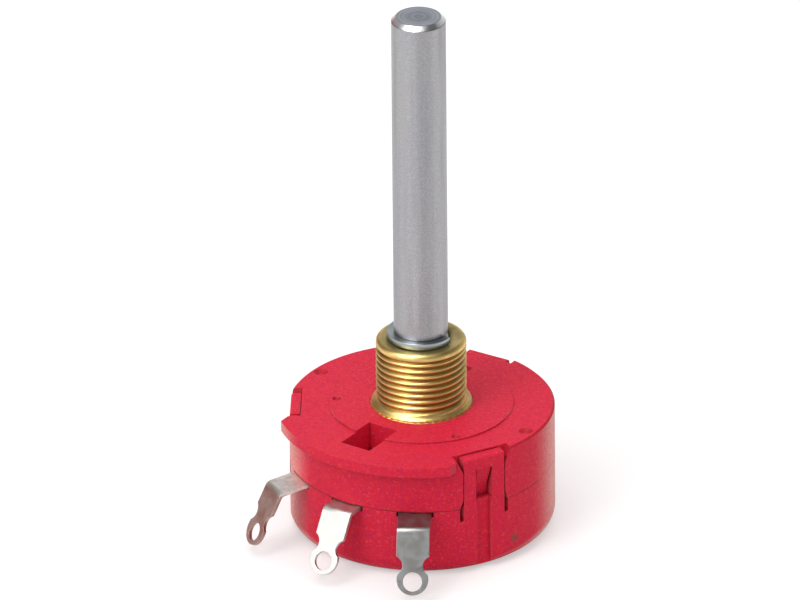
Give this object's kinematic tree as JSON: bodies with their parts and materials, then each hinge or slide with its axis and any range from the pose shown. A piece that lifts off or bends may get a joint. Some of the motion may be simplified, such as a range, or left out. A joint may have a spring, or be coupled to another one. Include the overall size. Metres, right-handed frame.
{
  "type": "rotary potentiometer",
  "caption": "Rotary wirewound potentiometer with a snap-together moulded body, threaded brass bushing, long plain round shaft and bent solder lugs.",
  "frame": {"origin": "centre of the flat rear face, on the shaft's axis", "axes": "+Z along the shaft towards its free end; -Y towards the middle solder lug; +X to the right when seen from that side"},
  "size_m": [0.0294, 0.0347, 0.0612],
  "materials": {
    "body_plastic": "fine-grained matte",
    "bushing_brass": "turned, bright",
    "shaft_steel": "ground, satin",
    "ring_steel": "dark phosphated",
    "lug_tin": "tinned, dull",
    "rivet_metal": "tinned, dull",
    "contact_brass": "stamped",
    "washer_bronze": "rolled",
    "former_board": "laminate",
    "winding_wire": "drawn wire",
    "spring_bronze": "rolled spring sheet",
    "brush_graphite": "pressed graphite",
    "hub_plastic": "moulded"
  },
  "bodies": {
    "stator": {"front_housing": "body_plastic", "rear_housing": "body_plastic", "bushing": "bushing_brass", "thrust_washer": "washer_bronze", "winding_former": "former_board", "resistance_winding": "winding_wire", "winding_band_start": "contact_brass", "winding_band_end": "contact_brass", "collector_ring": "contact_brass", "terminal_start": "lug_tin", "terminal_wiper": "lug_tin", "terminal_end": "lug_tin", "rivet_start": "rivet_metal", "rivet_wiper": "rivet_metal", "rivet_end": "rivet_metal"},
    "rotor": {"shaft": "shaft_steel", "retaining_ring": "ring_steel", "spring_washer": "ring_steel", "rotor_hub": "hub_plastic", "wiper_arm": "spring_bronze", "winding_brush": "brush_graphite", "collector_brush": "brush_graphite"}
  },
  "joints": [
    {"name": "shaft_turn", "type": "hinge", "parent": "stator", "child": "rotor", "pos_m": [0, 0, 0], "axis": [0, 0, 1], "range_deg": [-140, 140]}
  ]
}
